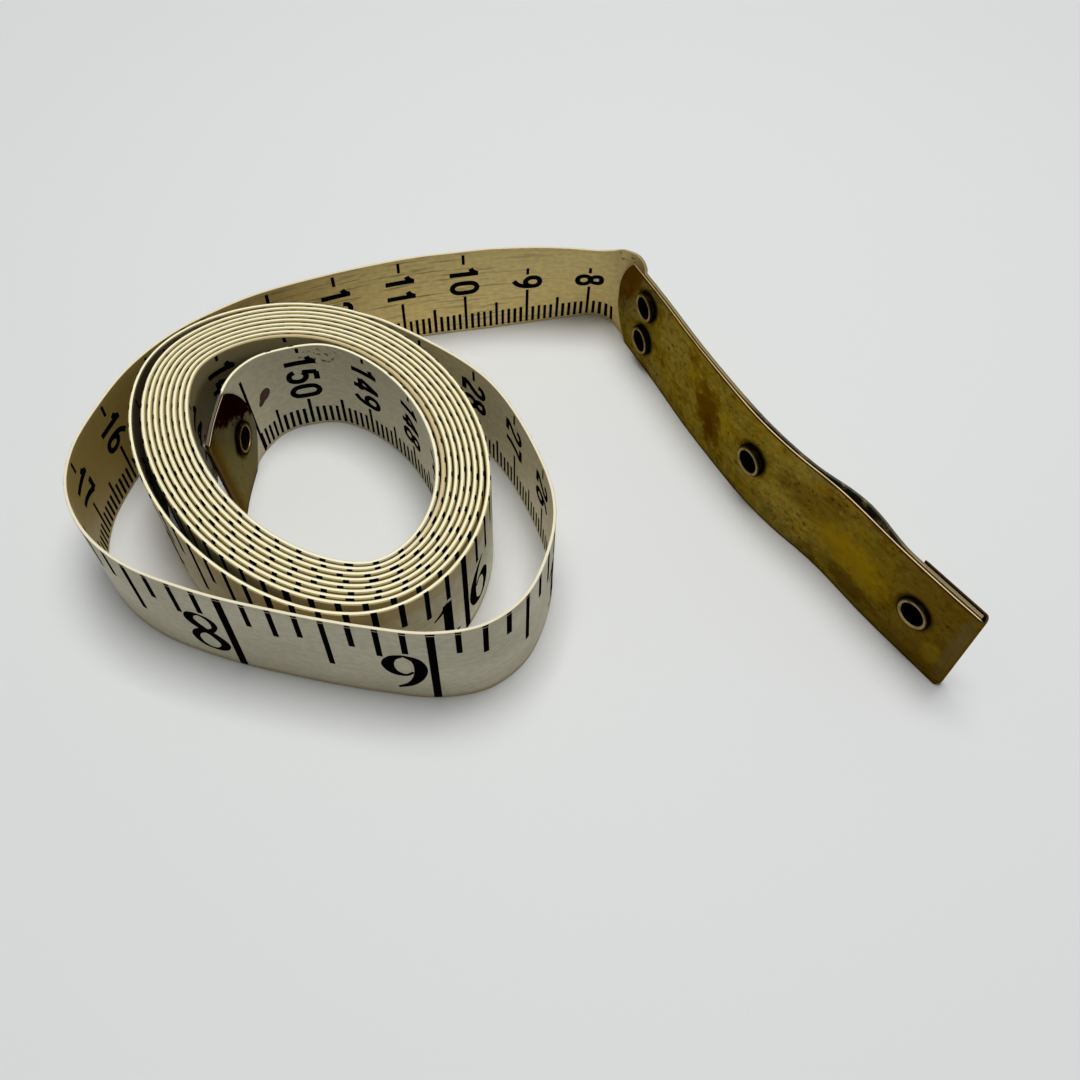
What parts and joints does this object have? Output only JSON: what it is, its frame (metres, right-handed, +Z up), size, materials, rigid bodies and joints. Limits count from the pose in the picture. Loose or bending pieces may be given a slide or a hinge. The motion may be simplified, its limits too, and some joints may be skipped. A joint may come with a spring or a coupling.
{
  "type": "cloth tape measure",
  "caption": "Flat printed cloth measuring tape wound into a loose oval coil on its edge, with an eyeleted folded brass plate on the zero end and a short brass tip on the inner end.",
  "frame": {"origin": "middle of the footprint, on the surface that the tape stands on", "axes": "+Z up along the tape's width, +X from the coil towards the brass plate's free end, +Y away from the picture's viewer"},
  "size_m": [0.113, 0.0717, 0.0159],
  "materials": {
    "tape_cloth": "woven tape coated with ivory paint, printed in black",
    "aged_brass": "rolled sheet, tarnished olive brown",
    "eyelet_brass": "pressed, dark in the grooves"
  },
  "bodies": {
    "coil": {"tape_coil": "tape_cloth", "tape_outer_loop": "tape_cloth", "tape_crease": "tape_cloth", "tape_inner_bend": "tape_cloth"},
    "end_plate": {"brass_end_plate": "aged_brass", "tape_plate_length": "tape_cloth", "eyelet_far": "eyelet_brass", "eyelet_middle": "eyelet_brass", "eyelet_near_upper": "eyelet_brass", "eyelet_near_lower": "eyelet_brass"},
    "tip": {"brass_tip": "aged_brass", "tape_tip_length": "tape_cloth", "eyelet_tip": "eyelet_brass"}
  },
  "joints": [
    {"name": "plate_swing", "type": "hinge", "parent": "coil", "child": "end_plate", "pos_m": [0.01513, 0.03317, 0.00795], "axis": [0, 0, 1], "range_deg": [-36, 118], "deforming": ["tape_crease"]},
    {"name": "tip_swing", "type": "hinge", "parent": "coil", "child": "tip", "pos_m": [-0.03698, 0.00584, 0.00795], "axis": [0, 0, 1], "range_deg": [-1.5, 70], "deforming": ["tape_inner_bend"]}
  ]
}
